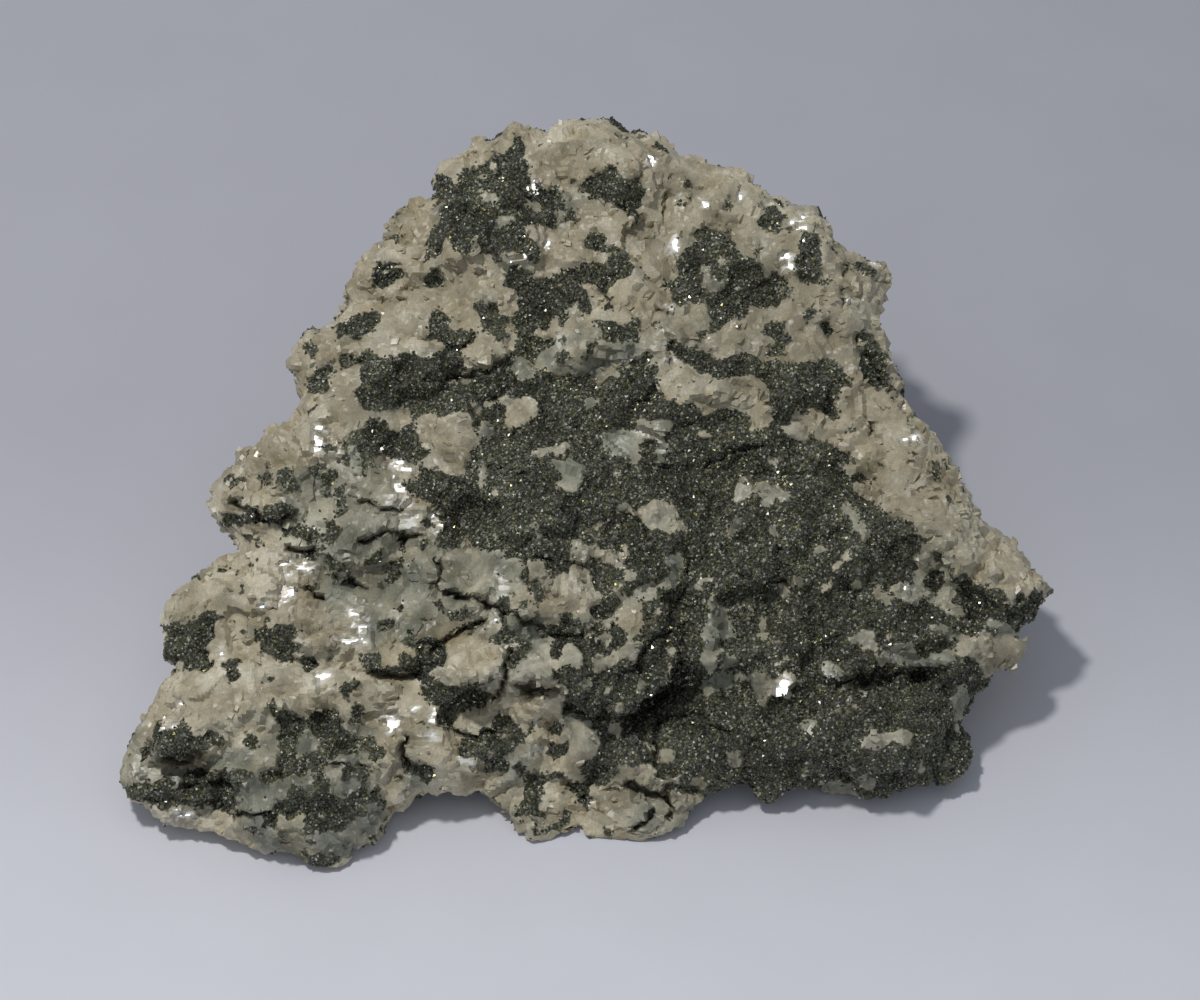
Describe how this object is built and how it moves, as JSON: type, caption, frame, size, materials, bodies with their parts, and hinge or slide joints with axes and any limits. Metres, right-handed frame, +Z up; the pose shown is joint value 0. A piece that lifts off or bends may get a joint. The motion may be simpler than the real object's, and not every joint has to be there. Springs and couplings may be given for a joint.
{
  "type": "lollingite specimen",
  "caption": "Rough hand specimen of lollingite: dark, glittering metallic grains massed in cream cleavable calcite, a low wedge resting on a flat underside.",
  "frame": {"origin": "Middle of the specimen's bounding box in plan, at the table it rests on.", "axes": "+X to the right along the longest side as the broken face is looked at, +Y to the back where the wedge is tallest, +Z up."},
  "size_m": [0.1084, 0.0936, 0.0382],
  "materials": {
    "calcite": "rough, cleavable, with glassy cleavage faces",
    "lollingite": "granular, metallic, glittering"
  },
  "bodies": {
    "root": {"lollingite_specimen": "calcite"}
  },
  "joints": []
}
